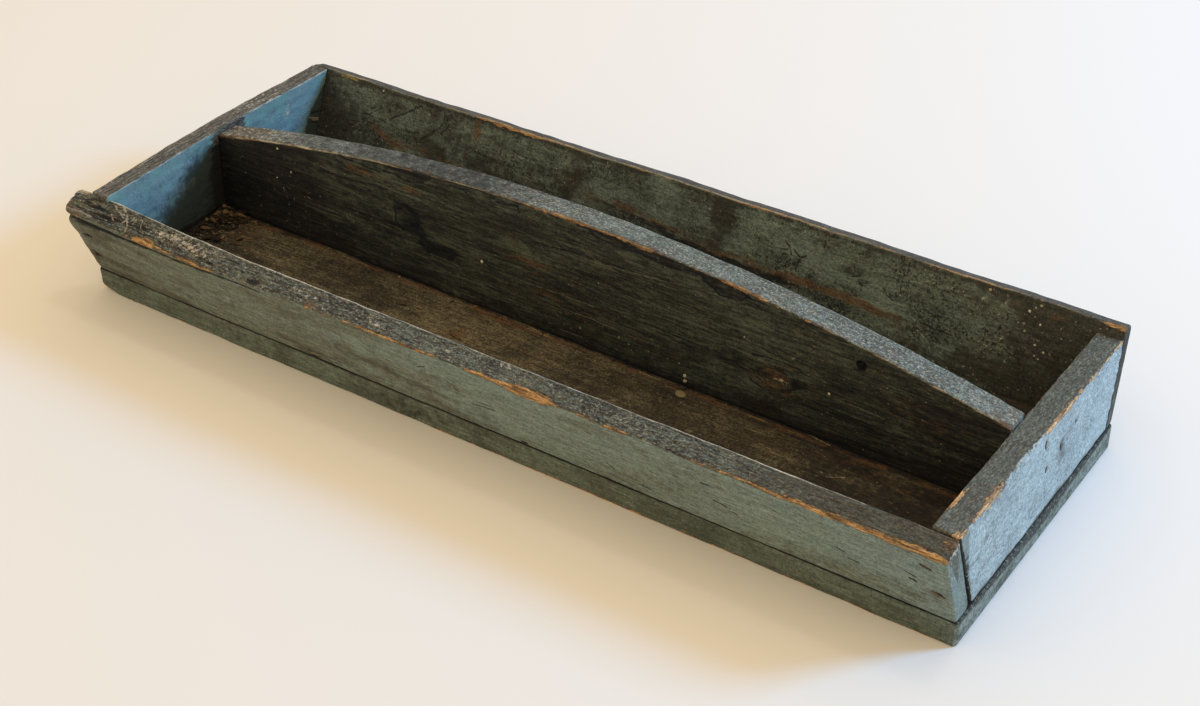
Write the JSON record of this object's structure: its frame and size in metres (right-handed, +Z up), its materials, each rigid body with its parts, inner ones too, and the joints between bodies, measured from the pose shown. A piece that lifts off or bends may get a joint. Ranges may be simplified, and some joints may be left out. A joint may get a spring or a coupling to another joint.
{
  "type": "open wooden carrying tray",
  "caption": "Long shallow open tray of nailed boards with leaning sides and an arched centre divider that is its handle, in worn paint.",
  "frame": {"origin": "middle of the tray's whole plan, on the underside of the bottom board", "axes": "+X along the tray to its right end, -Y to its lower front side, +Z up"},
  "size_m": [0.619, 0.2347, 0.1038],
  "materials": {
    "bottom_paint": "worn dark green paint outside, brown dirty bare wood inside",
    "side_paint": "worn matte grey-green paint with bare wood on the arrises",
    "end_paint": "worn matte light blue paint",
    "divider_paint": "dark worn green-black paint",
    "nail_iron": "rusted iron"
  },
  "bodies": {
    "root": {"bottom_board": "bottom_paint", "front_side": "side_paint", "back_side": "side_paint", "left_end": "end_paint", "right_end": "end_paint", "divider": "divider_paint", "front_left_corner_nails": "nail_iron", "front_right_corner_nails": "nail_iron", "back_left_corner_nails": "nail_iron", "back_right_corner_nails": "nail_iron", "left_divider_nails": "nail_iron", "right_divider_nails": "nail_iron", "bottom_front_nails": "nail_iron", "bottom_back_nails": "nail_iron", "bottom_left_end_nails": "nail_iron", "bottom_right_end_nails": "nail_iron", "bottom_divider_nails": "nail_iron"}
  },
  "joints": []
}
